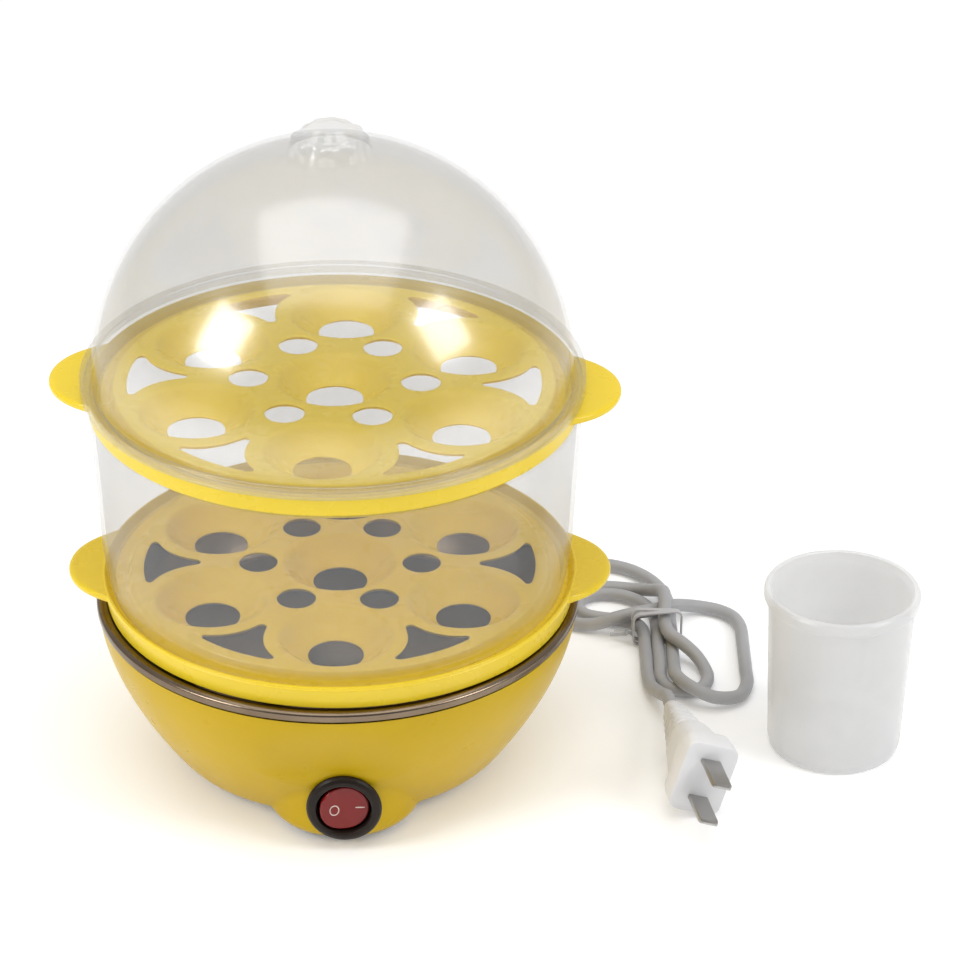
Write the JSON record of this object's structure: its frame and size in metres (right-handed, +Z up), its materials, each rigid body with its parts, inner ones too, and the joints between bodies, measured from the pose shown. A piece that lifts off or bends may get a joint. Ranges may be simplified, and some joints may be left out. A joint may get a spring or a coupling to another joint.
{
  "type": "egg cooker",
  "caption": "Two-tier electric egg cooker: yellow base and egg trays, frosted ring and domed lid, steel pan, rocker switch, corded plug and a measuring cup.",
  "frame": {"origin": "on the cooker's axis, at the underside of its base, level with the feet", "axes": "+Z up; -Y towards the switch; +X towards the right ears and the measuring cup"},
  "size_m": [0.2709, 0.2052, 0.2124],
  "materials": {
    "yellow_plastic": "glossy injection-moulded polypropylene",
    "frosted_plastic": "frosted translucent polypropylene",
    "black_plastic": "satin",
    "rubber_feet": "matt",
    "stainless_steel": "spun, satin with a bright rolled rim",
    "zinc_steel": "zinc plated",
    "aluminium": "satin",
    "ceramic": "unglazed",
    "red_plastic": "glossy",
    "brass": "nickel-toned, satin",
    "grey_cord": "soft PVC",
    "pale_grey_plastic": "soft PVC"
  },
  "bodies": {
    "base": {"base_housing": "yellow_plastic", "bottom_cover": "black_plastic", "foot_1": "rubber_feet", "foot_2": "rubber_feet", "foot_3": "rubber_feet", "foot_4": "rubber_feet", "cover_screw_1": "zinc_steel", "cover_screw_2": "zinc_steel", "cover_screw_3": "zinc_steel", "cover_screw_4": "zinc_steel", "heating_pan": "stainless_steel", "heating_element": "aluminium", "pan_stud": "zinc_steel", "element_bracket": "zinc_steel", "bracket_nut": "zinc_steel", "thermostat": "aluminium", "thermal_fuse": "ceramic", "switch_bezel": "black_plastic", "switch_body": "black_plastic", "switch_terminal_left": "brass", "switch_terminal_right": "brass", "rear_grommet": "black_plastic", "cord_clamp": "black_plastic", "cord_clamp_screw": "zinc_steel", "wire_cord_to_switch": "grey_cord", "wire_switch_to_element": "grey_cord", "wire_fuse_to_cord": "grey_cord", "power_cord": "grey_cord", "twist_tie": "grey_cord", "plug_body": "pale_grey_plastic", "plug_strain_relief": "pale_grey_plastic", "plug_blade_upper": "brass", "plug_blade_lower": "brass"},
    "rocker": {"rocker": "red_plastic"},
    "lower_tray": {"lower_tray": "yellow_plastic"},
    "middle_ring": {"middle_ring": "frosted_plastic"},
    "upper_tray": {"upper_tray": "yellow_plastic"},
    "lid": {"lid": "frosted_plastic"},
    "measuring_cup": {"measuring_cup": "frosted_plastic", "piercing_pin": "zinc_steel"}
  },
  "joints": [
    {"name": "rocker_tilt", "type": "hinge", "parent": "base", "child": "rocker", "pos_m": [0.004, -0.0644, 0.0156], "axis": [0, 0, 1], "range_deg": [-18, 0]},
    {"name": "lower_tray_lift", "type": "slide", "parent": "base", "child": "lower_tray", "axis": [0, 0, 1], "range_m": [0, 0.08]},
    {"name": "middle_ring_lift", "type": "slide", "parent": "lower_tray", "child": "middle_ring", "axis": [0, 0, 1], "range_m": [0, 0.1]},
    {"name": "upper_tray_lift", "type": "slide", "parent": "middle_ring", "child": "upper_tray", "axis": [0, 0, 1], "range_m": [0, 0.08]},
    {"name": "lid_lift", "type": "slide", "parent": "upper_tray", "child": "lid", "axis": [0, 0, 1], "range_m": [0, 0.12]},
    {"name": "measuring_cup_lift", "type": "slide", "parent": "base", "child": "measuring_cup", "axis": [0, 0, 1], "range_m": [0, 0.1]}
  ]
}
